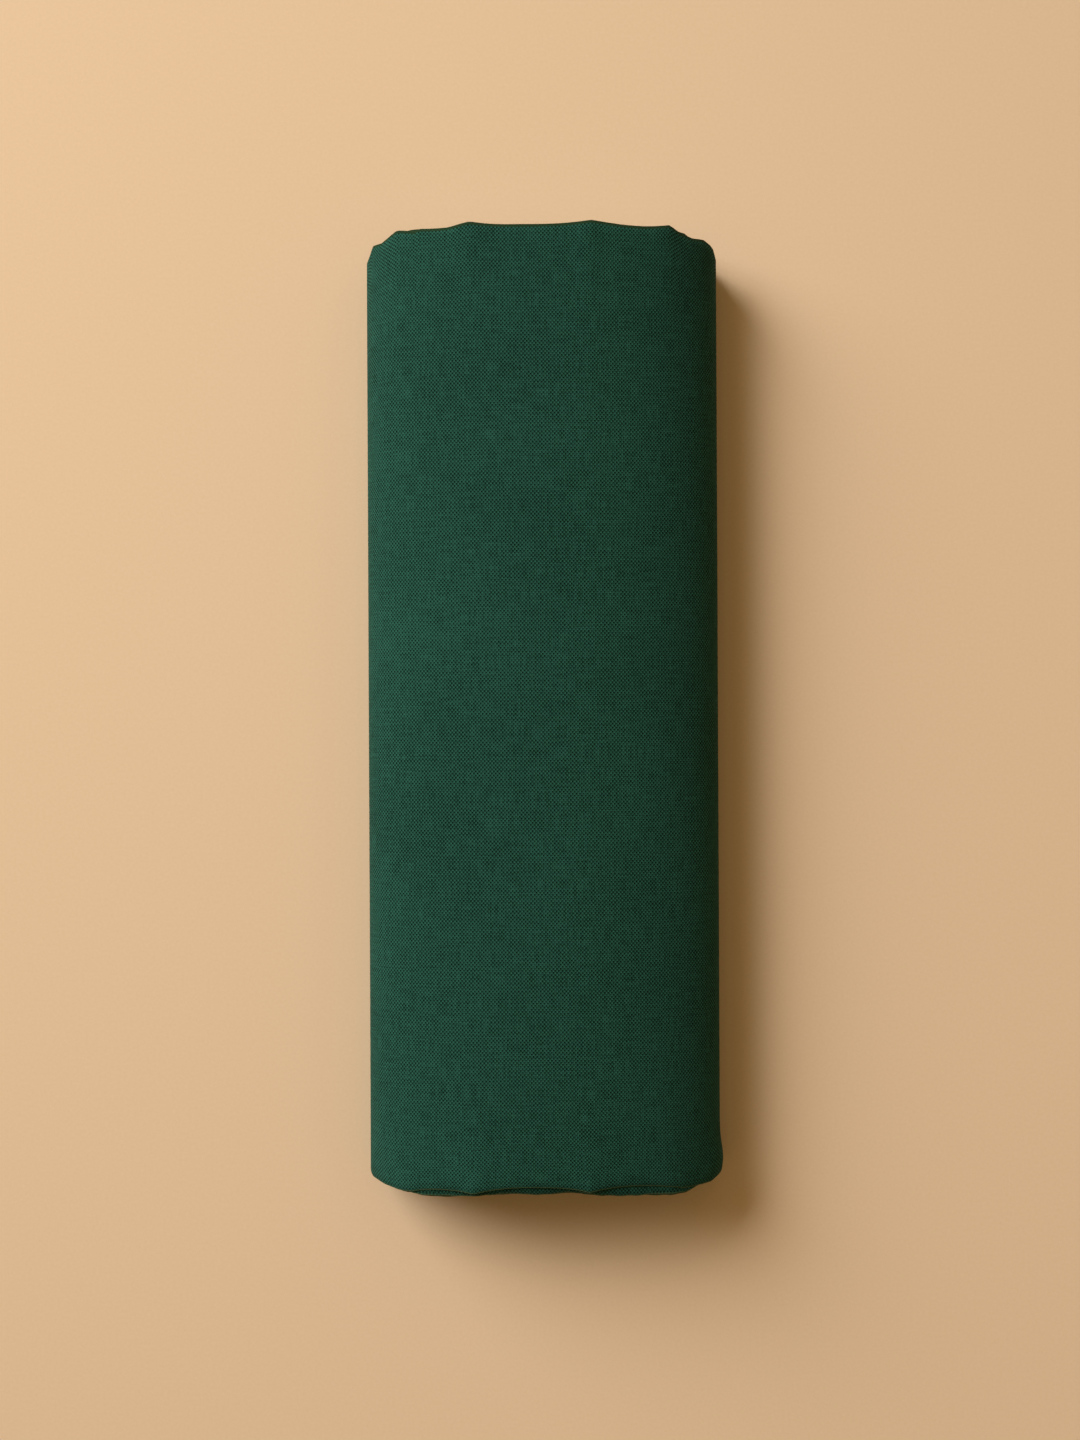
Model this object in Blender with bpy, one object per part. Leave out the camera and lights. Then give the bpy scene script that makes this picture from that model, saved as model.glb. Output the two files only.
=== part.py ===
"""Fabric bolt: cloth folded once along its length and wound flat round a corrugated cardboard board.

Frame: +Z up, +Y along the bolt towards the fold of the cloth, X across the bolt.
The origin is on the floor under the middle of the bolt. Units are metres.
The cloth is one length. Its turns are kept as nested sleeves, and its loose end is a hinged tail.
"""

import math

import bmesh
import bpy
import numpy as np

# Board: a folded corrugated blank, closed at both ends by creased flaps
BOARD_WIDTH = 0.203
BOARD_THICKNESS = 0.019
PANEL_THICKNESS = 0.003
BOARD_RECESS = 0.006        # from the cloth's end to the outer face of an end flap
PANEL_GAP = 0.0003          # between panels, walls, ribs and flaps
RIB_OFFSET = 0.052          # from the middle of the board to a side rib
FLAP_SIDE_CLEARANCE = 0.0005

# Paper label on the flap at the selvedge end
LABEL_LENGTH = 0.152
LABEL_HEIGHT = 0.011
LABEL_THICKNESS = 0.0003
LABEL_GAP = 0.0003

# Cloth: half of a 1.372 m (54 inch) width, measured along the bolt
FOLDED_WIDTH = 0.686
BOARD_CLEARANCE = 0.0008    # between the board and the first turn
SIDE_BUILD = 0.0247         # cloth past each long edge of the board
TOP_BUILD = 0.0302          # cloth above the board, at the middle of the crown
BOTTOM_BUILD = 0.0242       # cloth under the board
WIDEST_HEIGHT = 0.026       # height of the widest line of the section
CROWN_POWER = 2.2           # section above the widest line: 2 is an ellipse, more is squarer
BASE_POWER = 7.0            # section below it
BASE_PRESS = 1.02           # the lower curve reaches this far past the floor and is cut flat there
TURN_GAP = 0.0004
COVER_THICKNESS = 0.0016    # the outermost doubled turn, with the air under it
COVER_SETBACK = 0.003       # the cover turn stops short of the turns below, at the selvedge end
INNER_TURNS = 5
MIDDLE_TURNS = 5
OUTER_TURNS = 4

# Tail: the loose end of the cover turn, which lies down the right side
TAIL_SHOULDER_INSET = 0.024  # hinge line, inboard of the widest line
TAIL_EDGE_HEIGHT = 0.010     # cut edge above the floor
TAIL_GAP = 0.0005

SECTION_STEPS = 18           # facets in each quarter of the section
NARROWEST_FACET = 0.02       # radians between a marked angle and the end of a strip

half_length = FOLDED_WIDTH / 2
half_pocket = BOARD_WIDTH / 2 + BOARD_CLEARANCE
half_width = half_pocket + SIDE_BUILD
board_bottom = BOTTOM_BUILD + BOARD_CLEARANCE
board_top = board_bottom + BOARD_THICKNESS
pocket_top = board_top + BOARD_CLEARANCE
crown_rise = pocket_top + TOP_BUILD - WIDEST_HEIGHT


def clear_scene():
    for thing in list(bpy.data.objects):
        bpy.data.objects.remove(thing)


def make_material(name, colour, roughness):
    material = bpy.data.materials.new(name)
    material.use_nodes = True
    shader = material.node_tree.nodes["Principled BSDF"]
    shader.inputs["Base Color"].default_value = (*colour, 1.0)
    shader.inputs["Roughness"].default_value = roughness
    shader.inputs["Metallic"].default_value = 0.0
    return material


def add_object(name, mesh_builder, material, origin=(0.0, 0.0, 0.0)):
    """One named object from a bmesh given in world metres, with its origin on a chosen point."""
    bmesh.ops.recalc_face_normals(mesh_builder, faces=mesh_builder.faces)
    bmesh.ops.translate(mesh_builder, verts=mesh_builder.verts, vec=[-c for c in origin])
    mesh = bpy.data.meshes.new(name)
    mesh_builder.to_mesh(mesh)
    mesh_builder.free()
    mesh.materials.append(material)
    thing = bpy.data.objects.new(name, mesh)
    thing.location = origin
    bpy.context.scene.collection.objects.link(thing)
    return thing


def section_angles(low, high):
    """Section angles from low to high, with one at each crossing of the section's axes and one over
    each long edge of the pocket, so that no facet cuts across a corner of the board."""
    quarter = math.pi / 2
    share = half_pocket / half_width
    crown, base = (math.acos(share ** (power / 2)) for power in (CROWN_POWER, BASE_POWER))
    marks = (0, crown, quarter, 2 * quarter - crown, 2 * quarter, 2 * quarter + base, 3 * quarter,
             4 * quarter - base)
    laps = (-4 * quarter, 0, 4 * quarter)
    stops = sorted(mark + lap for mark in marks for lap in laps)
    stops = [low, *(stop for stop in stops if low + NARROWEST_FACET < stop < high - NARROWEST_FACET), high]
    angles = []
    for start, end in zip(stops, stops[1:]):
        steps = max(1, math.ceil(SECTION_STEPS * (end - start) / quarter - 1e-6))
        angles.extend(np.linspace(start, end, steps, endpoint=False))
    return np.array(angles + [high])


def outer_section(angles):
    """Skin of the bolt: a superellipse crown above the widest line, a squarer base cut flat below it."""
    c, s = np.cos(angles), np.sin(angles)
    power = np.where(s >= 0, CROWN_POWER, BASE_POWER)
    x = half_width * np.sign(c) * np.abs(c) ** (2 / power)
    rise = np.abs(s) ** (2 / power)
    z = np.where(s >= 0, WIDEST_HEIGHT + crown_rise * rise, WIDEST_HEIGHT * (1 - BASE_PRESS * rise))
    return np.column_stack([x, np.maximum(z, 0.0)])


def moved_on(angle, distance):
    """The section angle a short distance further along the skin."""
    near, far = outer_section(np.array([angle, angle + 0.001]))
    return angle + 0.001 * distance / math.dist(near, far)


def pocket_section(skin):
    """The point of the board's pocket under each point of the skin: straight in over the faces,
    fanned about the pocket's long edges at the sides."""
    middle = (board_bottom + board_top) / 2
    half = BOARD_THICKNESS / 2 + BOARD_CLEARANCE
    past = np.maximum(np.abs(skin[:, 0]) - half_pocket, 0.0)
    lean = np.arctan2(skin[:, 1] - middle, past) / (math.pi / 2)
    x = np.clip(skin[:, 0], -half_pocket, half_pocket)
    return np.column_stack([x, middle + half * lean])


def level(skin, turns_below):
    """Section of the winding after a number of turns, counted from the board."""
    pocket = pocket_section(skin)
    depth = np.linalg.norm(skin - pocket, axis=1, keepdims=True)
    wound = 1 - (COVER_THICKNESS + TURN_GAP) / depth
    share = turns_below / (INNER_TURNS + MIDDLE_TURNS + OUTER_TURNS)
    return pocket + (skin - pocket) * wound * share


def inset(skin, distance):
    """The skin moved in towards the pocket by a distance."""
    ray = pocket_section(skin) - skin
    return skin + ray / np.linalg.norm(ray, axis=1, keepdims=True) * distance


def extrude_strip(outer, inner, y_low, y_high, closed):
    """A wall of cloth: the strip between two section lines, extruded along the bolt."""
    builder = bmesh.new()
    rows = [[builder.verts.new((x, y_low, z)) for x, z in line] for line in (outer, inner)]
    count = len(outer)
    for i in range(count if closed else count - 1):
        j = (i + 1) % count
        builder.faces.new((rows[0][i], rows[0][j], rows[1][j], rows[1][i]))
    result = bmesh.ops.extrude_face_region(builder, geom=list(builder.faces))
    moved = [v for v in result["geom"] if isinstance(v, bmesh.types.BMVert)]
    bmesh.ops.translate(builder, verts=moved, vec=(0.0, y_high - y_low, 0.0))
    return builder


def sleeve(name, turns_from, turns_to, material):
    """A bundle of turns between two counts of turns, TURN_GAP clear of the bundle inside it."""
    skin = outer_section(section_angles(0.0, 2 * math.pi)[:-1])
    inner = level(skin, turns_from)
    if turns_from:
        away = skin - inner
        inner = inner + away / np.linalg.norm(away, axis=1, keepdims=True) * TURN_GAP
    builder = extrude_strip(level(skin, turns_to), inner, -half_length, half_length, True)
    return add_object(name, builder, material)


def cover_piece(name, low, high, material, origin=(0.0, 0.0, 0.0)):
    """A stretch of the outermost turn between two section angles."""
    skin = outer_section(section_angles(low, high))
    y_low = -half_length + COVER_SETBACK
    builder = extrude_strip(skin, inset(skin, COVER_THICKNESS), y_low, half_length, False)
    return add_object(name, builder, material, origin)


def plate(name, low, high, material, origin=(0.0, 0.0, 0.0)):
    """A flat piece of board between two corners."""
    builder = bmesh.new()
    bmesh.ops.create_cube(builder, size=1.0)
    size = [h - l for l, h in zip(low, high)]
    middle = [(h + l) / 2 for l, h in zip(low, high)]
    bmesh.ops.scale(builder, verts=builder.verts, vec=size)
    bmesh.ops.translate(builder, verts=builder.verts, vec=middle)
    return add_object(name, builder, material, origin)


def build_cloth():
    cloth = make_material("green_cloth", (0.020, 0.062, 0.040), 0.92)
    wound = INNER_TURNS + MIDDLE_TURNS
    sleeve("cloth_inner_turns", 0, INNER_TURNS, cloth)
    sleeve("cloth_middle_turns", INNER_TURNS, wound, cloth)
    sleeve("cloth_outer_turns", wound, wound + OUTER_TURNS, cloth)

    # Section angles of the tail's hinge line and cut edge, from their places on the skin
    hinge_angle = math.acos((1 - TAIL_SHOULDER_INSET / half_width) ** (CROWN_POWER / 2))
    edge_share = (1 - TAIL_EDGE_HEIGHT / WIDEST_HEIGHT) / BASE_PRESS
    edge_angle = -math.asin(edge_share ** (BASE_POWER / 2))
    past_hinge = moved_on(hinge_angle, TAIL_GAP)
    past_edge = moved_on(edge_angle, -TAIL_GAP)
    x, z = outer_section(np.array([hinge_angle]))[0]
    cover_piece("cloth_cover_turn", past_hinge, 2 * math.pi + past_edge, cloth)
    cover_piece("cloth_tail", edge_angle, hinge_angle, cloth, (x, 0.0, z))


def build_board():
    board = make_material("white_board", (0.72, 0.70, 0.66), 0.85)
    kraft = make_material("kraft_board", (0.42, 0.29, 0.17), 0.9)
    half = BOARD_WIDTH / 2
    flap_inner = half_length - BOARD_RECESS - PANEL_THICKNESS
    end = flap_inner - PANEL_GAP
    inside_low = board_bottom + PANEL_THICKNESS + PANEL_GAP
    inside_high = board_top - PANEL_THICKNESS - PANEL_GAP

    top_inside = board_top - PANEL_THICKNESS
    bottom_inside = board_bottom + PANEL_THICKNESS
    plate("board_front_panel", (-half, -end, top_inside), (half, end, board_top), board)
    plate("board_back_panel", (-half, -end, board_bottom), (half, end, bottom_inside), board)
    uprights = (
        ("board_left_wall", -half, board),
        ("board_right_wall", half - PANEL_THICKNESS, board),
        ("board_left_rib", -RIB_OFFSET - PANEL_THICKNESS / 2, kraft),
        ("board_centre_rib", -PANEL_THICKNESS / 2, kraft),
        ("board_right_rib", RIB_OFFSET - PANEL_THICKNESS / 2, kraft),
    )
    for name, x, material in uprights:
        plate(name, (x, -end, inside_low), (x + PANEL_THICKNESS, end, inside_high), material)

    # The crease lies low enough for the open flap and its label to stay level with the board
    crease = board_top - PANEL_THICKNESS - LABEL_GAP - LABEL_THICKNESS
    reach = half - FLAP_SIDE_CLEARANCE
    for name, side in (("label_end_flap", -1), ("fold_end_flap", 1)):
        faces = sorted((side * flap_inner, side * (flap_inner + PANEL_THICKNESS)))
        low, high = (-reach, faces[0], board_bottom), (reach, faces[1], crease)
        plate(name, low, high, board, (0.0, side * flap_inner, crease))

    label = make_material("label_paper", (0.80, 0.78, 0.72), 0.8)
    face = -(flap_inner + PANEL_THICKNESS + LABEL_GAP)
    middle = (board_bottom + crease) / 2
    low = (-LABEL_LENGTH / 2, face - LABEL_THICKNESS, middle - LABEL_HEIGHT / 2)
    high = (LABEL_LENGTH / 2, face, middle + LABEL_HEIGHT / 2)
    plate("end_label", low, high, label, (0.0, -flap_inner, crease))


clear_scene()
build_cloth()
build_board()
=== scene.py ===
import math

import bmesh
import bpy
import numpy as np
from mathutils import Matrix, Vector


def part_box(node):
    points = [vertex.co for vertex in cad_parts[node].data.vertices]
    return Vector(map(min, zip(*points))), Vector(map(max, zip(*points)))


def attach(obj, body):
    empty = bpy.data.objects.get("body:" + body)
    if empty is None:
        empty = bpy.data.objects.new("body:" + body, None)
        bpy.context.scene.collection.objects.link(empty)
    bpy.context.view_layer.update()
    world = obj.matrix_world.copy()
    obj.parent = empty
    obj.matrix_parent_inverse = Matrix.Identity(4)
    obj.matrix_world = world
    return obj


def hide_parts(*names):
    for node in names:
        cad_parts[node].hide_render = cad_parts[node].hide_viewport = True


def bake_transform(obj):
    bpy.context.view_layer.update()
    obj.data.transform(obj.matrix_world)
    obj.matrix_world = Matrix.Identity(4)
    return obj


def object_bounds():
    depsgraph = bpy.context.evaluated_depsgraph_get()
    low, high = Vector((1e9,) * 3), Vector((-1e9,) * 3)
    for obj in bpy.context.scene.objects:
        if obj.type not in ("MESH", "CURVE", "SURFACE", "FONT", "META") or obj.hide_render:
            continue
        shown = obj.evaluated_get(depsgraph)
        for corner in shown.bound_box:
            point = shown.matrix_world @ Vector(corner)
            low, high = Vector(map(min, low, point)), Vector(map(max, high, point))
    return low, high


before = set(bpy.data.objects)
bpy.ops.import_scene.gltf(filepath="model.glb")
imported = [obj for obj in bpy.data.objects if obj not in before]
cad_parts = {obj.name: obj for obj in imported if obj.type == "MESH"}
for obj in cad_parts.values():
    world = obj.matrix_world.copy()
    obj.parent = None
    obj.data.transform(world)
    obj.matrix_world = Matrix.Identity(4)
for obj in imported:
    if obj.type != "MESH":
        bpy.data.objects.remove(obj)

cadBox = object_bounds()
print("frame loaded")

# Places that the pieces are worked out from, in metres
rightSide, fixedHalf, crownTop = cadBox[1]   # fixedHalf is half of the folded cloth's width
frontPanel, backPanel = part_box("board_front_panel"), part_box("board_back_panel")
boardTop, boardBottom = frontPanel[1].z, backPanel[0].z
boardHalf = frontPanel[1].x
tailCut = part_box("cloth_tail")[0].z          # height of the tail's cut edge

bolt = {
    "clothWidth": 4 * fixedHalf,             # full loom width, folded once along its middle
    "ply": 0.00036,                          # thickness of one layer of linen
    "plyGap": 0.00040,                       # between the middles of the two layers where they touch
    "turns": 15,
    "stepShare": 0.12,                       # share of a turn over which it climbs on to the one below
    "coverShare": 0.165,                     # share of the last turn after which the cover's stretch starts
    "widest": 0.026,                         # height of the widest line of the section
    "crownPower": 2.2,
    "basePower": 7.0,
    "basePress": 1.02,                       # above 1 the base is pressed flat on the table
    "girthPoints": 20001,                    # the section is sampled this finely
    "pocketGap": 0.0008,                     # between the board and the first turn
    "skinGap": 0.0001,                       # the cover stays this far inside the section
    "tableGap": 0.00002,
    "mostAir": 0.0016,                       # over a doubled turn
    "tightTurns": (1.0, 2.2),                # turns under the outside: tight above these, loose below them
    "parting": 0.22,                         # share of the air by which a turn's two layers stand apart
    "hingeReach": 0.014,                     # the tail bends over this much on each side of its hinge
}


def srgb(hexColour):
    # sRGB hex to the linear values that shaders take
    parts = [int(hexColour[i:i + 2], 16) / 255 for i in (1, 3, 5)]
    return tuple(c / 12.92 if c <= 0.04045 else ((c + 0.055) / 1.055) ** 2.4 for c in parts) + (1.0,)


def skinAt(angle):
    # Section of the wound bolt: superellipse crown over the widest line, x = a*|cos|^(2/p),
    # z = b*|sin|^(2/p), and a squarer base under it that is cut flat at the floor
    c, s = np.cos(angle), np.sin(angle)
    power = np.where(s >= 0, bolt["crownPower"], bolt["basePower"])
    x = rightSide * np.sign(c) * np.abs(c) ** (2 / power)
    rise = np.abs(s) ** (2 / power)
    w = bolt["widest"]
    z = np.where(s >= 0, w + (crownTop - w) * rise, w * (1 - bolt["basePress"] * rise))
    return np.stack([x, np.maximum(z, 0.0)], -1)


def pocketAt(skin):
    # Foot of each skin point on the board's pocket: straight in over the faces, and round the long edges
    # middle + half height * angle / 90 degrees, the angle being the skin point's as seen from the edge
    half, middle = boardHalf + bolt["pocketGap"], (boardTop + boardBottom) / 2
    past = np.maximum(np.abs(skin[..., 0]) - half, 0.0)
    lean = np.arctan2(skin[..., 1] - middle, past) / (math.pi / 2)
    rise = (boardTop - boardBottom) / 2 + bolt["pocketGap"]
    return np.stack([np.clip(skin[..., 0], -half, half), middle + rise * lean], -1)


def makeRoute():
    # One trip round the skin, from the tail's cut edge back to it the way the cloth is wound, as shares of
    # the girth. edge is the angle at which the base of skinAt is as high as the tail's cut
    press = (1 - tailCut / bolt["widest"]) / bolt["basePress"]
    edge = -math.asin(press ** (bolt["basePower"] / 2))
    points = skinAt(np.linspace(edge + 2 * math.pi, edge, bolt["girthPoints"]))
    run = np.concatenate([[0.0], np.cumsum(np.linalg.norm(np.diff(points, axis=0), axis=1))])
    return {"share": run / run[-1], "skin": points, "pocket": pocketAt(points)}


route = makeRoute()


def onRoute(kind, turn):
    share = turn - np.floor(turn)
    return np.stack([np.interp(share, route["share"], route[kind][:, i]) for i in (0, 1)], -1)


def wave(t, seed, period, count=4):
    # smooth random wave between -1 and 1: a few sines of nearby periods with seeded phases
    rng = np.random.default_rng(seed)
    total = np.zeros_like(t)
    for _ in range(count):
        total += np.sin(2 * math.pi * t / (period * rng.uniform(0.6, 1.7)) + rng.uniform(0, 2 * math.pi))
    return np.tanh(total / count ** 0.5)


def ramp(value, low, high):
    # 0 below low, 1 above high, eased between them
    t = np.clip((value - low) / (high - low), 0, 1)
    return t * t * (3 - 2 * t)


def nearOutside(turn, deep, shallow):
    # 0 for turns more than deep turns under the outside, 1 for those less than shallow
    return ramp(turn, bolt["turns"] - deep, bolt["turns"] - shallow)


# Hand winding is uneven. Each line is the height, seed and period of a smooth random wave. Heights are in
# metres, or shares of the air for two of them, and periods in turns for the first three, then in metres.
unevenness = {
    "stagger": (0.0008, 3, 2.7),             # turns wound further up or down the board
    "shift": (0.20, 41, 1.9),                # turns that sit high or low in their air
    "parting": (0.20, 42, 2.3),
    "lowerSelvedge": (0.0006, 11, 0.16),
    "pairedSelvedge": (0.0005, 16, 0.11),
    "hungSelvedge": (0.0005, 12, 0.05),
    "selvedgeFibres": (0.00022, 17, 0.012),
    "coverSelvedge": (0.00015, 15, 0.04),
    "underCover": (0.0006, 21, 0.06),
    "fold": (0.0007, 13, 0.19),
    "hungFold": (0.0002, 14, 0.03),
    "slack": (0.00020, 31, 0.13),
    "face": (0.00030, 32, 0.14),
}


def uneven(name, t, lift=0):
    # height * (lift + wave): a lift of 1 keeps it from going below zero
    height, seed, period = unevenness[name]
    return height * (lift + wave(t, seed, period))


# How the edges lie at the two ends: places across the bolt where the edge turns, and how far it stops
# short of the board's nominal end there (below zero where it stands proud)
ends = {
    "ridges": (-0.101, -0.051, 0.034, 0.090),
    "foldEdge": ((-0.127, 0.0200), (-0.1227, 0.0090), (-0.1158, 0.0084), (-0.103, 0.0016), (-0.090, 0.0036),
                 (-0.087, 0.0020), (-0.066, 0.0021), (-0.051, -0.0008), (0.035, -0.0014), (0.053, 0.0008),
                 (0.091, 0.0), (0.099, 0.0048), (0.109, 0.0070), (0.118, 0.0066), (0.125, 0.0100),
                 (0.127, 0.0150)),
    "selvedgeEdge": ((-0.127, 0.0095), (-0.1266, 0.0071), (-0.1259, 0.0060), (-0.1246, 0.0054),
                     (-0.117, 0.0030), (-0.103, 0.0006), (-0.087, -0.0026), (-0.051, -0.0017),
                     (-0.024, 0.0007), (0.005, -0.0003), (0.019, 0.0011), (0.040, -0.0011),
                     (0.090, -0.0026), (0.099, -0.0020), (0.111, 0.0024), (0.1205, 0.0027),
                     (0.127, 0.0070)),
    "coverEdge": ((-0.127, 0.0098), (-0.1266, 0.0074), (-0.1259, 0.0063), (-0.1246, 0.0057),
                  (-0.117, 0.0034), (-0.1035, 0.0010), (-0.0945, 0.0006), (-0.051, 0.0010),
                  (0.031, 0.0022), (0.098, 0.0018), (0.112, 0.0028), (0.1205, 0.0034),
                  (0.127, 0.0078)),
    "foldSag": 0.031,                        # the edge sags back between them, as a share of the span
    "coverSag": 0.055,
    "sagPower": 0.85,
    "sagSpans": (0.012, 0.040),              # shorter spans than the first don't sag
    "foldCorner": 0.0165,                    # the wound sides draw back from both ends
    "selvedgeCorner": 0.0075,
    "cornerFrom": 0.092,
    "cornerPower": 1.2,
    "innerCorner": 0.30,                     # share of it that the innermost turn has
    "leastDraw": 0.0002,
    "pairStep": 0.0004,                      # the upper layer's selvedge stops this much before the lower's
    "foldStagger": 0.8,                      # the fold is staggered by this much of what the selvedges are
    "hungTurns": (5.0, 1.0),                 # turns under the outside, over which the edges become hung ones
    "hungHeights": (-0.004, 0.016),          # over the widest line
    "reach": 0.045,                          # how far into the bolt an uneven edge is felt
    "ridgeHeight": 0.0013,
    "ridgeWidth": 0.010,
    "ridgeReach": 0.028,
    "ridgedTurns": (6.0, 0.0),
    "ridgedHeights": (0.0, 0.018),
    "slackSlant": 0.2,                       # the waves run a little aslant, by this much along the bolt
    "faceSlant": 0.35,
    "droop": 3.0,                            # selvedges under the cover sink by this much of the air there
    "droopReach": 0.0045,
    "droopTurns": (9.0, 1.5),
    "roll": 0.0015,                          # the cover rolls down by this at its selvedge and its fold
    "rollReach": 0.0024,
    "flare": 0.0024,                         # the right side stands out just inside the selvedge corner
    "flareFrom": 0.112,
    "flareAt": 0.018,
    "flareWidth": 0.013,
}


def hungEdge(x, knots, sag):
    # An edge hung between places: straight from one to the next, and drawn back between them by
    # sag * span * (4t(1-t))^power
    places, draws = np.array(knots).T
    k = np.clip(np.searchsorted(places, x) - 1, 0, len(places) - 2)
    span = places[k + 1] - places[k]
    t = np.clip((x - places[k]) / span, 0, 1)
    hang = (4 * t * (1 - t)) ** ends["sagPower"]
    return np.interp(x, places, draws) + sag * span * hang * ramp(span, *ends["sagSpans"])


def edgeDraw(turn, skin, metres, cover):
    # How far the upper and lower selvedge and the fold stop short of the bolt's ends: the hung edges on the
    # outer turns of the crown, and elsewhere the turns' own stagger with the corners drawn back
    x = skin[:, 0]
    crown = ramp(skin[:, 1] - bolt["widest"], *ends["hungHeights"])
    hung = crown * nearOutside(turn, *ends["hungTurns"])
    side = np.clip((np.abs(x) - ends["cornerFrom"]) / (rightSide - ends["cornerFrom"]), 0, 1)
    inner = ends["innerCorner"]
    side = side ** ends["cornerPower"] * (inner + (1 - inner) * turn / bolt["turns"])
    stagger = ends["leastDraw"] + uneven("stagger", turn, 1)

    lower = stagger + side * ends["selvedgeCorner"] + uneven("lowerSelvedge", metres, 1)
    line = hungEdge(x, ends["selvedgeEdge"], 0.0)
    line = line + uneven("hungSelvedge", metres) + uneven("selvedgeFibres", metres)
    lower = lower + (line - lower) * hung
    upper = lower + ends["pairStep"] + uneven("pairedSelvedge", metres)

    fold = side * ends["foldCorner"] + ends["foldStagger"] * stagger + uneven("fold", metres, 1)
    line = hungEdge(x, ends["foldEdge"], ends["foldSag"]) + uneven("hungFold", metres)
    fold = fold + (line - fold) * hung

    if cover:
        line = hungEdge(x, ends["coverEdge"], ends["coverSag"]) + uneven("coverSelvedge", metres)
        upper = upper + (line - upper) * crown
        lower = lower + crown * uneven("underCover", metres, 1)
    return {"upper": upper, "lower": lower, "fold": fold}


def addMesh(name, verts, faces, materials, uv=None, faceMaterial=None):
    # faces is a plain list, since they may have different numbers of corners
    mesh = bpy.data.meshes.new(name)
    mesh.from_pydata(verts.tolist(), [], faces)
    if uv is not None:
        corner = np.empty(len(mesh.loops), np.int32)
        mesh.loops.foreach_get("vertex_index", corner)
        mesh.uv_layers.new(name="clothUV").data.foreach_set("uv", uv[corner].astype(np.float32).ravel())
    for material in materials:
        mesh.materials.append(material)
    if faceMaterial is not None:
        mesh.polygons.foreach_set("material_index", faceMaterial.astype(np.int32))
    mesh.shade_smooth()
    piece = bpy.data.objects.new(name, mesh)
    bpy.context.scene.collection.objects.link(piece)
    print(name, len(faces), "faces")
    return piece


def faceOutwards(piece):
    # turn every face outwards, and keep the cut edges sharp
    builder = bmesh.new()
    builder.from_mesh(piece.data)
    bmesh.ops.recalc_face_normals(builder, faces=builder.faces)
    builder.to_mesh(piece.data)
    builder.free()
    piece.data.set_sharp_from_angle(angle=math.radians(50))


def gridFaces(grid):
    return np.stack([grid[:-1, :-1], grid[:-1, 1:], grid[1:, 1:], grid[1:, :-1]], -1).reshape(-1, 4)


def slabFaces(count, rows, first=0):
    # closed slab between two grids of rows x count points, the outer one numbered first
    grid = first + np.arange(rows * count).reshape(rows, count)
    other = grid + rows * count
    rim = np.concatenate([grid[0, :-1], grid[:-1, -1], grid[-1, :0:-1], grid[:0:-1, 0]])
    under = rim + rows * count
    sides = np.stack([rim, under, np.roll(under, -1), np.roll(rim, -1)], 1)
    return np.concatenate([gridFaces(grid), gridFaces(other)[:, ::-1], sides])


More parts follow.
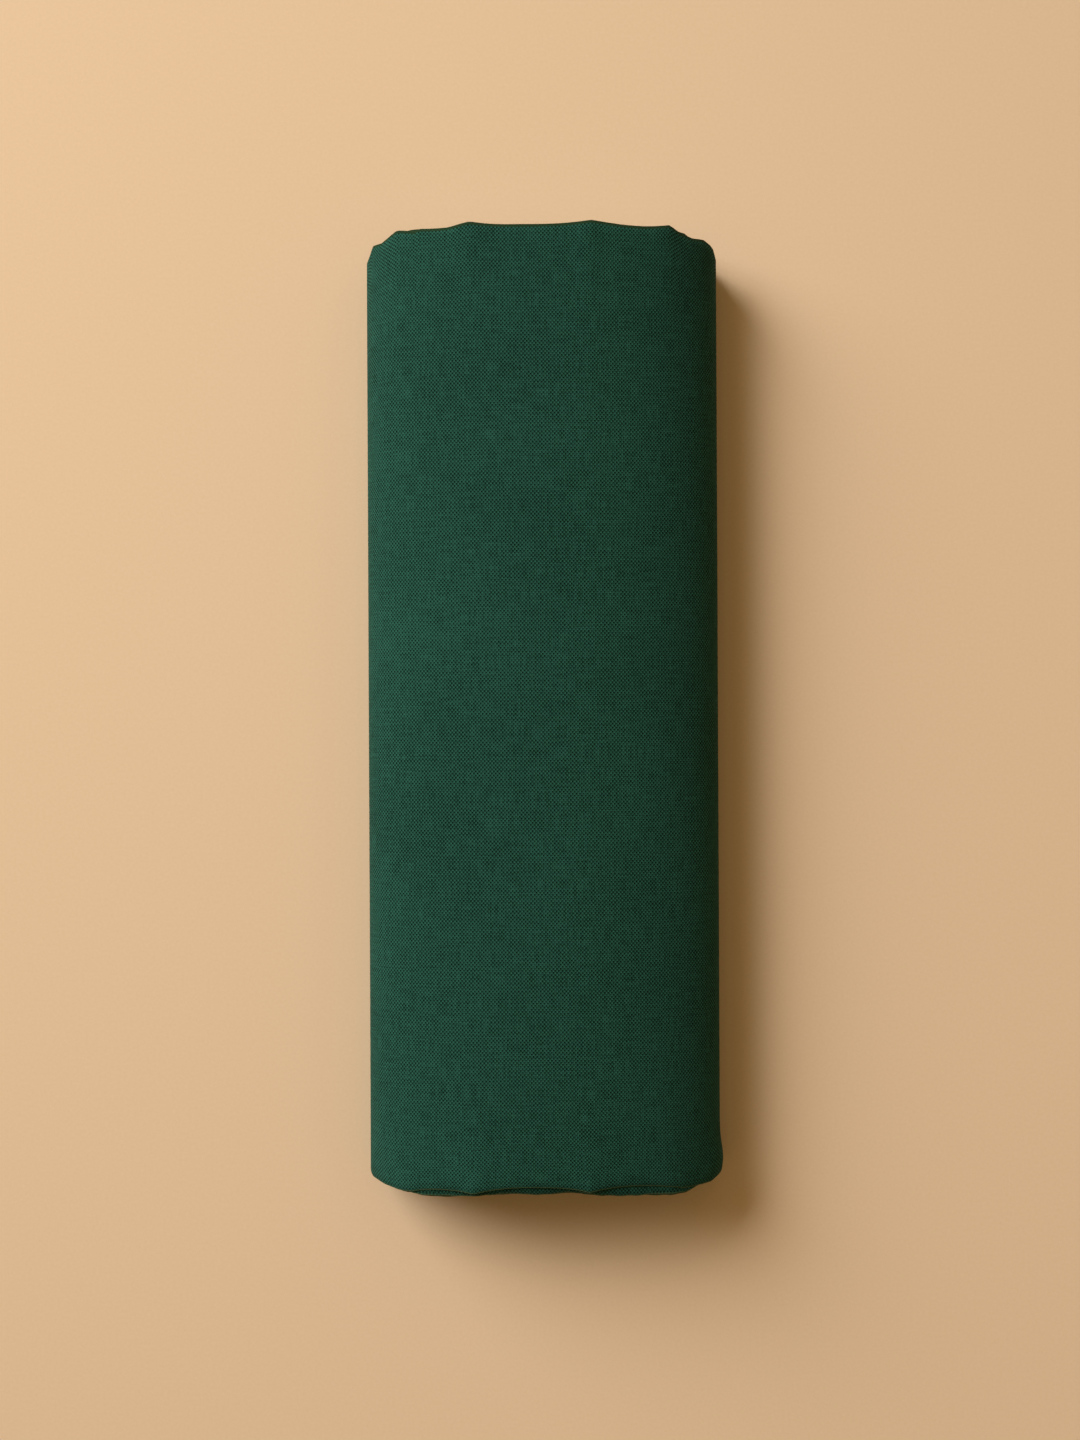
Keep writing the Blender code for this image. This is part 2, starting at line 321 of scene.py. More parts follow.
def woundCloth(name, turnFrom, turnTo, perTurn, stations, material, metresFrom, cover=False):
    # Two layers of cloth joined at the fold, wound in a flat spiral.
    # Along the winding: point = pocket + ray * slot * layers below, where slot is the build over the turns
    # and each turn climbs by one slot just past the tail's cut.
    # Across it: a hairpin profile, out along the upper layer, round the fold and back along the lower one,
    # once for each face of the cloth. The distance out gets the air, the ridges and the sagging edges added.
    count = int(round((turnTo - turnFrom) * perTurn)) + 1
    turn = np.linspace(turnFrom, turnTo, count)
    skin, pocket = onRoute("skin", turn), onRoute("pocket", turn)
    build = np.linalg.norm(skin - pocket, axis=1)
    ray = (skin - pocket) / build[:, None]
    sheet = bolt["ply"]
    doubled = bolt["plyGap"] + sheet
    layersBelow = np.floor(turn) - 1 + ramp(turn - np.floor(turn), 0, bolt["stepShare"])
    slot = (build - doubled - bolt["skinGap"]) / (bolt["turns"] - 1)
    air = np.clip(slot - doubled, 0, bolt["mostAir"])
    tight = doubled / 2 + slot * layersBelow
    steps = np.linalg.norm(np.diff(pocket + ray * tight[:, None], axis=0), axis=1)
    metres = metresFrom + np.concatenate([[0.0], np.cumsum(steps)])

    # Turns sit unevenly in their air, and the two layers of a turn part here and there
    looseAir = air * ramp(bolt["turns"] - turn, *bolt["tightTurns"])
    distance = tight + looseAir * uneven("shift", turn)
    gap = bolt["plyGap"] + looseAir * (bolt["parting"] + uneven("parting", turn))

    draw = edgeDraw(turn, skin, metres, cover)
    outer = nearOutside(turn, *ends["ridgedTurns"])
    crown = ramp(skin[:, 1] - bolt["widest"], *ends["ridgedHeights"])
    outerCrown = (outer * crown)[:, None]
    away = (skin[:, 0, None] - np.array(ends["ridges"])[None]) / ends["ridgeWidth"]
    ridge = np.exp(-away ** 2).sum(1)[:, None]
    rightFace = (outer * ramp(skin[:, 0], ends["flareFrom"], rightSide))[:, None]
    droop = ends["droop"] * air * crown * nearOutside(turn, *ends["droopTurns"])
    bend = gap / 2 + sheet / 2
    s = np.array(stations)
    nominal = -fixedHalf + s[None] * (2 * fixedHalf - bend)[:, None]

    def layerFace(layer, face):
        # distance out from the middle of the turn, and place along the bolt, of one face of one layer
        selvedge = draw["upper" if layer > 0 else "lower"][:, None]
        y = nominal + selvedge * np.exp(-(nominal + fixedHalf) / ends["reach"])
        y = y - draw["fold"][:, None] * np.exp(-(fixedHalf - nominal) / ends["reach"])
        out = (layer * gap / 2 + face * sheet / 2)[:, None] + np.zeros_like(y)
        sink = 0.0 if cover and layer > 0 else droop[:, None]
        return out - sink * np.exp(-(nominal + fixedHalf) / ends["droopReach"]), y

    arc = np.linspace(0, math.pi, 6)[1:-1]   # angles round the fold between its two straight sides
    foldEnd = layerFace(1, 1)[1][:, -1:]

    def hairpin(face, radius):
        outUp, yUp = layerFace(1, face)
        outLow, yLow = layerFace(-1, -face)
        out = np.hstack([outUp, radius[:, None] * np.cos(arc)[None], outLow[:, ::-1]])
        y = np.hstack([yUp, foldEnd + radius[:, None] * np.sin(arc)[None], yLow[:, ::-1]])
        return out, y

    def placed(out, y):
        # ridges near the ends and slow waves over the faces move both layers along the ray
        nearEnd = np.exp(-(fixedHalf - np.abs(y)) / ends["ridgeReach"])
        rise = ends["ridgeHeight"] * ridge * outerCrown * nearEnd
        slack = uneven("slack", metres[:, None] + ends["slackSlant"] * y) * nearEnd
        slow = outerCrown * uneven("face", skin[:, 0, None] + ends["faceSlant"] * y)
        flare = np.exp(-((y + fixedHalf - ends["flareAt"]) / ends["flareWidth"]) ** 2)
        fromEnd = np.maximum(np.minimum(y - y[:, :1], y.max(1, keepdims=True) - y), 0.0)
        roll = ends["roll"] * outerCrown * np.exp(-fromEnd / ends["rollReach"])
        far = distance[:, None] + out + rise + slack + slow + ends["flare"] * rightFace * flare - roll
        place = pocket[:, None] + ray[:, None] * far[..., None]
        return np.stack([place[..., 0], y, np.maximum(place[..., 1], bolt["tableGap"])], -1)

    outside = placed(*hairpin(1, bend))
    inside = placed(*hairpin(-1, bend - sheet))
    k = outside.shape[1]

    # UV in metres: u along the cloth, v across it from selvedge to selvedge
    half = bolt["clothWidth"] / 2
    across = np.concatenate([s * half, np.full(len(arc), half), 2 * half - s[::-1] * half])
    uv = np.stack(np.broadcast_arrays(metres[:, None], across[None]), -1).reshape(-1, 2)
    verts = np.concatenate([outside.reshape(-1, 3), inside.reshape(-1, 3)])
    piece = addMesh(name, verts, slabFaces(k, count).tolist(), [material], np.concatenate([uv, uv]))
    lastRows = (outside[-2:] + inside[-2:]) / 2
    return {"piece": piece, "length": metres[-1] - metres[0], "end": metres[-1], "rows": lastRows,
            "layers": (slice(0, len(s)), slice(len(s) + len(arc), k))}


def addNode(tree, kind, settings=None, links=None):
    # one node: settings by property or socket, links as socket: (node, output)
    node = tree.nodes.new(kind)
    for key, value in (settings or {}).items():
        if isinstance(key, int) or key in node.inputs:
            node.inputs[key].default_value = value
        else:
            setattr(node, key, value)
    for key, (source, output) in (links or {}).items():
        tree.links.new(source.outputs[output], node.inputs[key])
    return node


def newMaterial(name, roughness, specular):
    material = bpy.data.materials.new(name)
    material.use_nodes = True
    tree = material.node_tree
    shader = tree.nodes["Principled BSDF"]
    shader.inputs["Roughness"].default_value = roughness
    shader.inputs["Specular IOR Level"].default_value = specular
    return material, tree, shader


linen = {
    "weftSpacing": 0.00129,                  # between weft threads, which run along the bolt
    "warpSpacing": 0.00145,                  # between warp threads, which run round it
    "dark": "#001A11",
    "light": "#2B6259",
    "patches": 260.0,                        # patches of proud or flat crossings in a metre
    "patchSwing": 1.9,
    "patchLift": -0.25,
    "slubLength": 0.016,
    "slubDepth": 0.7,
    "dyeClouds": 9.0,                        # in a metre
    "dyeDepth": 0.35,
    "edge": "#51694E",                       # painted highlight along a selvedge, where its edge catches the light and the warm bounce
    "edgeHighlightFade": (0.0003, 0.0010),            # distances from the selvedge over which the painted highlight fades
    "edgeHighlightCover": 0.8,
    "fold": "#20351E",                       # painted shade along the fold, darker and warmer, where it rounds away from the light
    "foldShadeFade": (0.0023, 0.0014),            # distances from the fold over which the painted shade comes in
    "foldCover": 0.85,
    "threadRelief": 0.00025,
    "yarnFibres": 1500.0,                    # mottles in a metre of a loose end
}


def wovenLinen():
    # Piece-dyed linen in plain weave: matt. Its colour has a checker of pale dots, the weave's own pattern
    # with a painted highlight where the round threads would catch the light, and uneven, slubby yarn that
    # breaks it up
    material, tree, shader = newMaterial("wovenLinen", roughness=0.92, specular=0.08)
    uv = addNode(tree, "ShaderNodeUVMap", {"uv_map": "clothUV"})
    turns = (math.pi / linen["weftSpacing"], math.pi / linen["warpSpacing"], 0)
    scaled = addNode(tree, "ShaderNodeVectorMath", {"operation": "MULTIPLY", 1: turns}, {0: (uv, "UV")})
    waves = addNode(tree, "ShaderNodeVectorMath", {"operation": "SINE"}, {0: (scaled, "Vector")})
    split = addNode(tree, "ShaderNodeSeparateXYZ", links={0: (waves, "Vector")})
    checker = addNode(tree, "ShaderNodeMath", {"operation": "MULTIPLY"}, {0: (split, "X"), 1: (split, "Y")})

    patchy = addNode(tree, "ShaderNodeTexNoise", {"Scale": linen["patches"], "Detail": 1.0},
                     {"Vector": (uv, "UV")})
    swing = addNode(tree, "ShaderNodeMath",
                    {"operation": "MULTIPLY_ADD", 1: linen["patchSwing"], 2: linen["patchLift"]},
                    {0: (patchy, 0)})
    # pale checker dots: the weave's own pattern plus painted highlights on the thread crossings
    weaveAndHighlightDots = addNode(tree, "ShaderNodeMath", {"operation": "MULTIPLY"}, {0: (checker, 0), 1: (swing, 0)})
    tone = addNode(tree, "ShaderNodeMath", {"operation": "ADD", 1: 0.5}, {0: (weaveAndHighlightDots, 0)})

    # One noise for each way the threads run, long along the thread and one thread wide across it, and a
    # slow one for the dye. Each is taken about its middle, so the tone keeps its mean
    perThread, along = 1 / linen["weftSpacing"], 1 / linen["slubLength"]
    for scale in ((along, perThread, 1), (perThread, along, 1)):
        stretch = addNode(tree, "ShaderNodeMapping", {"Scale": scale}, {"Vector": (uv, "UV")})
        yarn = addNode(tree, "ShaderNodeTexNoise", {"Scale": 1.0, "Detail": 2.0},
                       {"Vector": (stretch, "Vector")})
        slub = addNode(tree, "ShaderNodeMath",
                       {"operation": "MULTIPLY_ADD", 1: linen["slubDepth"], 2: -linen["slubDepth"] / 2},
                       {0: (yarn, 0)})
        tone = addNode(tree, "ShaderNodeMath", {"operation": "ADD"}, {0: (tone, 0), 1: (slub, 0)})
    dye = addNode(tree, "ShaderNodeTexNoise", {"Scale": linen["dyeClouds"], "Detail": 3.0},
                  {"Vector": (uv, "UV")})
    dyed = addNode(tree, "ShaderNodeMath",
                   {"operation": "MULTIPLY_ADD", 1: linen["dyeDepth"], 2: -linen["dyeDepth"] / 2},
                   {0: (dye, 0)})
    tone = addNode(tree, "ShaderNodeMath", {"operation": "ADD", "use_clamp": True},
                   {0: (tone, 0), 1: (dyed, 0)})
    colour = addNode(tree, "ShaderNodeMix",
                     {"data_type": "RGBA", 6: srgb(linen["dark"]), 7: srgb(linen["light"])},
                     {0: (tone, 0)})

    # A paler band along both selvedges is a painted highlight, where the edges catch the light and the warm
    # bounce from the table, and a darker, warmer band along the fold is painted shade, where the fold rounds
    # away from the light. v is bounced between the selvedges and the fold, so it gives the distance from the
    # nearer selvedge
    foldLine = bolt["clothWidth"] / 2
    apart = addNode(tree, "ShaderNodeSeparateXYZ", links={0: (uv, "UV")})
    inward = addNode(tree, "ShaderNodeMath", {"operation": "PINGPONG", 1: foldLine}, {0: (apart, "Y")})
    # painted highlight along both selvedges, strongest at the edge
    edgeHighlightShare = addNode(tree, "ShaderNodeMapRange",
                   {"From Min": linen["edgeHighlightFade"][0], "From Max": linen["edgeHighlightFade"][1],
                    "To Min": linen["edgeHighlightCover"], "To Max": 0.0},
                   {"Value": (inward, 0)})
    edgeHighlighted = addNode(tree, "ShaderNodeMix", {"data_type": "RGBA", 7: srgb(linen["edge"])},
                    {0: (edgeHighlightShare, 0), 6: (colour, 2)})
    # painted shade along the fold line
    foldShadeShare = addNode(tree, "ShaderNodeMapRange",
                      {"From Min": foldLine - linen["foldShadeFade"][0],
                       "From Max": foldLine - linen["foldShadeFade"][1],
                       "To Max": linen["foldCover"]},
                      {"Value": (inward, 0)})
    foldShaded = addNode(tree, "ShaderNodeMix", {"data_type": "RGBA", 7: srgb(linen["fold"])},
                   {0: (foldShadeShare, 0), 6: (edgeHighlighted, 2)})
    tree.links.new(foldShaded.outputs[2], shader.inputs["Base Color"])

    height = addNode(tree, "ShaderNodeMath", {"operation": "ABSOLUTE"}, {0: (checker, 0)})
    bump = addNode(tree, "ShaderNodeBump", {"Strength": 0.6, "Distance": linen["threadRelief"]},
                   {"Height": (height, 0)})
    tree.links.new(bump.outputs["Normal"], shader.inputs["Normal"])
    shader.inputs["Sheen Weight"].default_value = 0.02
    shader.inputs["Sheen Roughness"].default_value = 0.5
    return material


def linenYarn():
    # Loose ends of the same dyed yarn, with mottled fibres
    material, tree, shader = newMaterial("linenYarn", roughness=0.95, specular=0.1)
    place = addNode(tree, "ShaderNodeTexCoord")
    fibre = addNode(tree, "ShaderNodeTexNoise", {"Scale": linen["yarnFibres"], "Detail": 2.0},
                    {"Vector": (place, "Object")})
    colour = addNode(tree, "ShaderNodeMix",
                     {"data_type": "RGBA", 6: srgb(linen["dark"]), 7: srgb(linen["light"])},
                     {0: (fibre, 0)})
    tree.links.new(colour.outputs[2], shader.inputs["Base Color"])
    return material


fray = {
    "longest": 0.0032,
    "shortest": 0.0006,
    "rooted": 0.0012,                        # each end starts this far inside the cloth
    "margin": 0.001,                         # none this near a selvedge or the fold
    "uneven": 0.0003,                        # each is out of its even spacing by up to this
    "radius": 0.00020,
    "thinning": 0.6,                         # share of the radius lost by the tip
    "drift": 0.0009,                         # how far an end wanders off its run
    "driftOut": 0.6,                         # share of that away from the bolt
    "looseThreads": 5,                       # long weft threads that hang partly off the cut
    "looseReach": (0.03, 0.10),
    "looseFrom": (-0.8, 0.75),               # where they start, as shares of half the bolt
    "looseHang": (0.0015, 0.0040),
    "looseCurl": 0.0006,
    "looseOut": 0.0005,                      # they stand off the bolt by this, and by a share of the hang
    "looseLean": 0.3,
    "looseRadius": 0.00018,
}


def tubes(points, radius, sides, first=0):
    # Round threads along rows of points: ring = point + radius * (cos a * u + sin a * v), with u and v
    # square to the run. Their corners are numbered from first
    run = np.gradient(points, axis=1)
    run /= np.linalg.norm(run, axis=2, keepdims=True)
    helper = np.where(np.abs(run[..., 1:2]) > 0.8, np.array([0.0, 0.0, 1.0]), np.array([0.0, 1.0, 0.0]))
    u = np.cross(run, helper)
    u /= np.linalg.norm(u, axis=2, keepdims=True)
    v = np.cross(run, u)
    turn = np.arange(sides) * 2 * math.pi / sides
    circle = np.cos(turn)[:, None] * u[:, :, None] + np.sin(turn)[:, None] * v[:, :, None]
    verts = points[:, :, None] + radius[:, :, None, None] * circle
    index = first + np.arange(verts.size // 3).reshape(verts.shape[:3])
    nextSide = np.roll(index, -1, axis=2)
    wall = np.stack([index[:, :-1], nextSide[:, :-1], nextSide[:, 1:], index[:, 1:]], -1).reshape(-1, 4)
    caps = np.concatenate([index[:, 0, ::-1], index[:, -1]])
    return verts.reshape(-1, 3), wall.tolist() + caps.tolist()


def pointsOn(line, y):
    # the points of a line of the cloth at some places along the bolt
    return np.stack([np.interp(y, line[:, 1], line[:, 0]), y, np.interp(y, line[:, 1], line[:, 2])], -1)


def warpEnds(rows, layers, rng):
    # Warp ends past the cut: each leaves the cloth along its run and bends off at random,
    # point = root + run * reach * t + drift * t^2
    starts, runs = [], []
    for layer in layers:
        order = np.argsort(rows[1, layer, 1])
        before, cut = rows[:, layer][:, order]
        y = np.arange(cut[0, 1] + fray["margin"], cut[-1, 1] - fray["margin"], linen["warpSpacing"])
        y = y + rng.uniform(-fray["uneven"], fray["uneven"], len(y))
        start = pointsOn(cut, y)
        run = start - pointsOn(before, y)
        starts.append(start)
        runs.append(run / np.linalg.norm(run, axis=1, keepdims=True))
    start, run = np.concatenate(starts), np.concatenate(runs)
    count = len(start)
    length = fray["shortest"] + (fray["longest"] - fray["shortest"]) * rng.beta(1.4, 2.6, count)
    drift = rng.normal(0, 1, (count, 3)) * fray["drift"] * (length / fray["longest"])[:, None]
    drift[:, 0] = np.abs(drift[:, 0]) * fray["driftOut"]
    t = np.linspace(0, 1, 4)
    root = start - fray["rooted"] * run
    reach = run * (length + fray["rooted"])[:, None]
    points = root[:, None] + reach[:, None] * t[:, None] + drift[:, None] * t[:, None] ** 2
    radius = fray["radius"] * (1 - fray["thinning"] * t[None] ** 2) * rng.uniform(0.75, 1.1, (count, 1))
    return points, radius


def looseThreads(cut, rng):
    # Long weft threads that have come away: the line of the cut, let down by hang * sin(pi t)^0.8,
    # with curl * sin(c t) * sin(pi t) for what the weave left in them
    count = fray["looseThreads"]
    reach = rng.uniform(*fray["looseReach"], (count, 1))
    start = rng.uniform(*fray["looseFrom"], (count, 1)) * fixedHalf
    t = np.linspace(0, 1, 40)
    points = pointsOn(cut, start + reach * t)
    hang = np.sin(math.pi * t) ** 0.8 * rng.uniform(*fray["looseHang"], (count, 1))
    curl = fray["looseCurl"] * np.sin(t * rng.uniform(9, 17, (count, 1)))
    points[..., 0] += fray["looseOut"] + fray["looseLean"] * hang
    points[..., 2] += curl * np.sin(math.pi * t) - hang
    return points, np.full(points.shape[:2], fray["looseRadius"])


def frayedEdge(name, rows, layers, material):
    rng = np.random.default_rng(7)
    verts, faces = tubes(*warpEnds(rows, layers, rng), 4)
    more, moreFaces = tubes(*looseThreads(rows[1, layers[0]], rng), 6, len(verts))
    piece = addMesh(name, np.concatenate([verts, more]), faces + moreFaces, [material])
    faceOutwards(piece)
    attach(piece, "tail")
    return piece


# Stations across the cloth, as shares from selvedge to fold: a few inside the bolt, many on the face
roughStations = (0, 0.0008, 0.003, 0.009, 0.03, 0.09, 0.5, 0.91, 0.97, 0.991, 0.9975, 1.0)
nearEdge = np.array([0.0, 0.0005, 0.0012, 0.0022, 0.0036, 0.0055, 0.0080, 0.0110, 0.0145, 0.0185, 0.023])
fineStations = np.concatenate([nearEdge, np.linspace(0.029, 0.971, 95), 1 - nearEdge[::-1]])

# Stretches of the one cloth, from the board outwards: turns from and to, and points in a turn
clothMaterial = wovenLinen()
coverStart = bolt["turns"] - 1 + bolt["coverShare"]
windings = (
    ("woundTurnsInner", bolt["stepShare"], 5.0, 150, roughStations, ("cloth_inner_turns",)),
    ("woundTurnsMiddle", 5.0, 10.0, 150, roughStations, ("cloth_middle_turns",)),
    ("woundTurnsOuter", 10.0, coverStart, 200, roughStations, ("cloth_outer_turns",)),
    ("coverTurn", coverStart, float(bolt["turns"]), 240, fineStations, ("cloth_cover_turn", "cloth_tail")),
)
metresSoFar = 0.0
for name, turnFrom, turnTo, perTurn, stations, nodes in windings:
    isCover = name == "coverTurn"
    wound = woundCloth(name, turnFrom, turnTo, perTurn, stations, clothMaterial, metresSoFar, isCover)
    metresSoFar = wound["end"]
    piece, flat = wound["piece"], (bolt["clothWidth"], wound["length"])
    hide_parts(*nodes)
    if isCover:
        loose = frayedEdge("frayedCutEnd", wound["rows"], wound["layers"], linenYarn())
        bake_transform(piece)
    else:
        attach(piece, "cloth")
print("cloth wound,", round(metresSoFar, 2), "m")

board = {
    "liner": 0.00035,                        # thickness of a facing paper
    "medium": 0.00025,                       # thickness of the fluted paper between them
    "glueLine": 0.00004,
    "flutePitch": 0.0066,
    "perFlute": 8,                           # points across one
    "spacing": 0.020,                        # between points along the flutes
    "washboard": 0.00005,                    # the facings dip a little between flutes
    "crush": 0.00035,                        # cut edges are pinched thinner by the die
    "crushReach": 0.0016,
    "fibres": (2600, 500, 2600),             # in a metre, long ones that lie along the bolt
    "clouds": 60.0,
    "cloudShare": 0.3,
    "toneRange": (0.40, 0.84),               # of fibres and clouds together, from fleck to pale
    "relief": 0.0001,
    "facing": "#E2DCCD",
    "facingFleck": "#C8BEA8",
    "kraft": "#A58258",
    "kraftFleck": "#8A6A45",
}


def boardPaper(name, pale, fleck, roughness):
    # Recycled board paper, calendered on a machine: matt, with long fibres and small flecks.
    # Fibres are drawn 2 mm long, coarser than real ones, so that they show
    material, tree, shader = newMaterial(name, roughness, specular=0.2)
    place = addNode(tree, "ShaderNodeTexCoord")
    stretch = addNode(tree, "ShaderNodeMapping", {"Scale": board["fibres"]}, {"Vector": (place, "Object")})
    fibre = addNode(tree, "ShaderNodeTexNoise", {"Scale": 1.0, "Detail": 3.0},
                    {"Vector": (stretch, "Vector")})
    cloud = addNode(tree, "ShaderNodeTexNoise", {"Scale": board["clouds"], "Detail": 4.0},
                    {"Vector": (place, "Object")})
    both = addNode(tree, "ShaderNodeMath", {"operation": "MULTIPLY_ADD", 1: board["cloudShare"]},
                   {0: (cloud, 0), 2: (fibre, 0)})
    low, high = board["toneRange"]
    tone = addNode(tree, "ShaderNodeMapRange", {"From Min": low, "From Max": high}, {"Value": (both, 0)})
    colour = addNode(tree, "ShaderNodeMix", {"data_type": "RGBA", 6: srgb(fleck), 7: srgb(pale)},
                     {0: (tone, 0)})
    tree.links.new(colour.outputs[2], shader.inputs["Base Color"])
    bump = addNode(tree, "ShaderNodeBump", {"Strength": 0.25, "Distance": board["relief"]},
                   {"Height": (fibre, 0)})
    tree.links.new(bump.outputs["Normal"], shader.inputs["Normal"])
    return material


def stationsBetween(low, high, spacing, reach):
    # places from low to high: close together near both ends, then evenly spaced
    fine = reach * np.array([0.0, 0.25, 0.6, 1.2, 2.5])
    steps = max(2, int((high - low - 5 * reach) / spacing) + 2)
    even = np.linspace(low + 4 * reach, high - 4 * reach, steps)
    return np.concatenate([low + fine, even, high - fine[::-1]])


def corrugated(name, node, across, thick, materials, rideOn):
    # Corrugated board: two facings and a fluted paper, middle + swing * cos(2 pi p / pitch),
    # with the facings' own washboard ripple and pinched edges. across is the axis the flutes repeat along
    low, high = (np.array(corner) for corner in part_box(node))
    along = 3 - across - thick
    flutes = max(2, round((high[across] - low[across]) / board["flutePitch"]))
    pitch = (high[across] - low[across]) / flutes
    p = np.linspace(low[across], high[across], flutes * board["perFlute"] + 1)
    q = stationsBetween(low[along], high[along], board["spacing"], board["crushReach"])
    pp, qq = np.meshgrid(p, q, indexing="ij")
    inset = np.minimum.reduce([pp - low[across], high[across] - pp, qq - low[along], high[along] - qq])
    half = (high[thick] - low[thick]) / 2
    middle = (high[thick] + low[thick]) / 2
    phase = 2 * math.pi * (pp - low[across]) / pitch
    pinch = board["crush"] * np.exp(-inset / board["crushReach"])
    outer = half - pinch - board["washboard"] * (1 - np.cos(phase))
    paper, sheet = board["liner"], board["medium"]
    flute = (outer - paper - sheet / 2 - board["glueLine"]) * np.cos(phase)
    layers = (
        (outer, outer - paper, 0),
        (flute + sheet / 2, flute - sheet / 2, 1),
        (paper - outer, -outer, 0),
    )
    verts, faces, index = [], [], []
    for upper, lower, which in layers:
        for offset in (upper, lower):
            points = np.empty(pp.shape + (3,))
            points[..., across], points[..., along], points[..., thick] = pp, qq, middle + offset
            verts.append(points.reshape(-1, 3))
        slab = slabFaces(len(q), len(p), 2 * len(index) * pp.size)
        faces.append(slab)
        index.append(np.full(len(slab), which))
    piece = addMesh(name, np.concatenate(verts), np.concatenate(faces).tolist(), materials,
                    faceMaterial=np.concatenate(index))
    faceOutwards(piece)
    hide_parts(node)
    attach(piece, rideOn)
    return piece


bleached = boardPaper("bleachedFacing", board["facing"], board["facingFleck"], 0.8)
fluting = boardPaper("kraftFluting", board["kraft"], board["kraftFleck"], 0.9)
for piece, node, across, thick, materials, body, slot in (
    ("frontPanelBoard", "board_front_panel", 0, 2, (bleached, fluting), "board", "white_board"),
    ("backPanelBoard", "board_back_panel", 0, 2, (bleached, fluting), "board", "white_board"),
    ("leftWallBoard", "board_left_wall", 2, 0, (bleached, fluting), "board", "white_board"),
    ("rightWallBoard", "board_right_wall", 2, 0, (bleached, fluting), "board", "white_board"),
    ("leftRibBoard", "board_left_rib", 2, 0, (fluting, fluting), "board", "kraft_board"),
    ("centreRibBoard", "board_centre_rib", 2, 0, (fluting, fluting), "board", "kraft_board"),
    ("rightRibBoard", "board_right_rib", 2, 0, (fluting, fluting), "board", "kraft_board"),
    ("labelEndFlapBoard", "label_end_flap", 0, 1, (bleached, fluting), "label_flap", "white_board"),
    ("foldEndFlapBoard", "fold_end_flap", 0, 1, (bleached, fluting), "fold_flap", "white_board"),
):
    corrugated(piece, node, across, thick, materials, body)

label = {
    "paper": "#E9E4D6",
    "fleck": "#D8D0BC",
    "thickness": 0.00014,
    "inset": 0.0001,                         # its face lies this far inside the CAD's
    "cornerRadius": 0.0016,
    "points": (121, 17),                     # across it and up it
    "curl": 0.00012,                         # the corners lift this far off the flap
}


def labelSheet(name, node, material):
    # Paper label: a rectangle with round corners, |x| <= half - radius * (1 - sqrt(1 - tuck^2)), where tuck
    # runs from 0 to 1 up the corner. It lifts off the flap by curl * s^6 * t^2, s and t from -1 to 1
    low, high = (np.array(corner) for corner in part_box(node))
    halfWide, halfTall = (high[0] - low[0]) / 2, (high[2] - low[2]) / 2
    middle = (low + high) / 2
    s, t = np.meshgrid(*(np.linspace(-1, 1, count) for count in label["points"]), indexing="ij")
    radius = label["cornerRadius"]
    tuck = np.clip((np.abs(t) * halfTall - (halfTall - radius)) / radius, 0, 1)
    x = s * (halfWide - radius * (1 - np.sqrt(1 - tuck ** 2 + 1e-9)))
    lift = label["curl"] * np.abs(s) ** 6 * np.abs(t) ** 2
    front = np.stack([middle[0] + x, low[1] + label["inset"] - lift, middle[2] + t * halfTall], -1)
    back = front + np.array([0, label["thickness"], 0])
    verts = np.concatenate([front.reshape(-1, 3), back.reshape(-1, 3)])
    piece = addMesh(name, verts, slabFaces(s.shape[1], s.shape[0]).tolist(), [material])
    faceOutwards(piece)
    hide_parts(node)
    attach(piece, "label_flap")
    return piece


labelSheet("blankEndLabel", "end_label", boardPaper("labelPaper", label["paper"], label["fleck"], 0.7))
print("board made")

stage = {
    "tableRadius": 2.6,
    "tablePoints": 96,
    "paper": "#ECD8C0",
    "paperFleck": "#E5CFB4",
    "paperGrain": 420.0,                     # grains in a metre, coarse so that they show
    "warmWorld": "#FFD28E",
    "wall": "#D9B78F",
    "worldStrength": (0.08, 0.50),           # from the side of the selvedges, and from the side of the fold
    "windowColour": "#FFF6EA",
    "windowPower": 67.5,
    "windowSpread": 75.0,                    # degrees over which the light fans out
    "windowSize": 3.3,
    "windowDistance": 4.6,
    "windowTowards": (-0.686, 0.539, 0.490),
}


def beigePaper():
    # Uncoated backdrop paper: matt, with a faint grain
    material, tree, shader = newMaterial("beigePaper", roughness=0.95, specular=0.1)
    place = addNode(tree, "ShaderNodeTexCoord")
    grain = addNode(tree, "ShaderNodeTexNoise", {"Scale": stage["paperGrain"], "Detail": 3.0},
                    {"Vector": (place, "Object")})
    tint = addNode(tree, "ShaderNodeMix",
                   {"data_type": "RGBA", 6: srgb(stage["paperFleck"]), 7: srgb(stage["paper"])},
                   {0: (grain, 0)})
    tree.links.new(tint.outputs[2], shader.inputs["Base Color"])
    return material


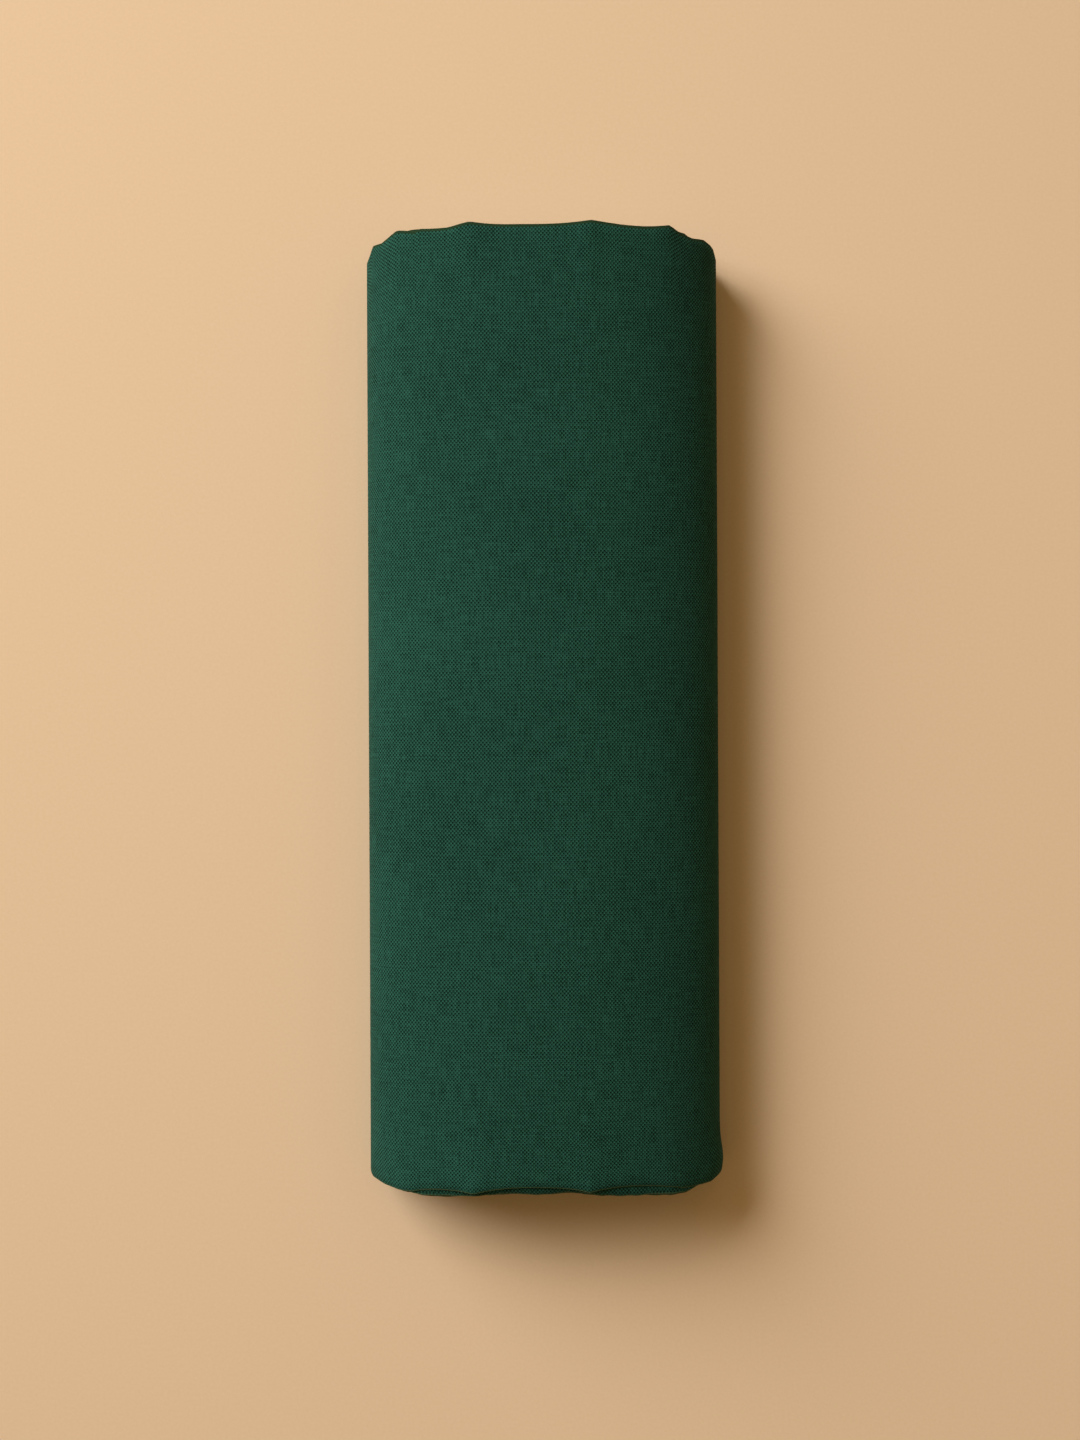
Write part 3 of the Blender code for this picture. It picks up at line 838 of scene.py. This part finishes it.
around = np.linspace(0, 2 * math.pi, stage["tablePoints"], endpoint=False)
rim = stage["tableRadius"] * np.stack([np.cos(around), np.sin(around), 0 * around], -1)
addMesh("tableTop", rim, [list(range(len(rim)))], [beigePaper()])

# The room lights the bolt more from the side of its fold, and is a plain wall behind it in every view
world = bpy.data.worlds.new("studio")
bpy.context.scene.world = world
world.use_nodes = True
tree = world.node_tree
low, high = stage["worldStrength"]
towards = addNode(tree, "ShaderNodeTexCoord")
apart = addNode(tree, "ShaderNodeSeparateXYZ", links={0: (towards, "Generated")})
strength = addNode(tree, "ShaderNodeMapRange",
                   {"From Min": -1.0, "From Max": 1.0, "To Min": low, "To Max": high},
                   {"Value": (apart, "Y")})
room = addNode(tree, "ShaderNodeBackground", {"Color": srgb(stage["warmWorld"])},
               {"Strength": (strength, 0)})
wall = addNode(tree, "ShaderNodeBackground", {"Color": srgb(stage["wall"])})
seen = addNode(tree, "ShaderNodeLightPath")
both = addNode(tree, "ShaderNodeMixShader", links={0: (seen, "Is Camera Ray"), 1: (room, 0), 2: (wall, 0)})
tree.links.new(both.outputs[0], tree.nodes["World Output"].inputs["Surface"])

light = bpy.data.lights.new("softWindow", "AREA")
light.shape = "SQUARE"
light.size = stage["windowSize"]
light.energy = stage["windowPower"]
light.spread = math.radians(stage["windowSpread"])
light.color = srgb(stage["windowColour"])[:3]
lamp = bpy.data.objects.new("softWindow", light)
bpy.context.scene.collection.objects.link(lamp)
lamp.location = [stage["windowDistance"] * c for c in stage["windowTowards"]]
lamp.rotation_euler = (-lamp.location).to_track_quat("-Z", "Y").to_euler()

# The camera looks straight down: places in metres, lens in mm, roll in degrees
view = {"height": 1.481, "right": -0.0025, "up": -0.0077, "lens": 50.0, "roll": -0.26}
cameraData = bpy.data.cameras.new("overhead")
cameraData.lens = view["lens"]
camera = bpy.data.objects.new("overhead", cameraData)
bpy.context.scene.collection.objects.link(camera)
camera.location = (view["right"], view["up"], view["height"])
camera.rotation_euler = (0, 0, math.radians(view["roll"]))
bpy.context.scene.camera = camera
bpy.context.scene.view_settings.view_transform = "Standard"
print("table, light and camera set")
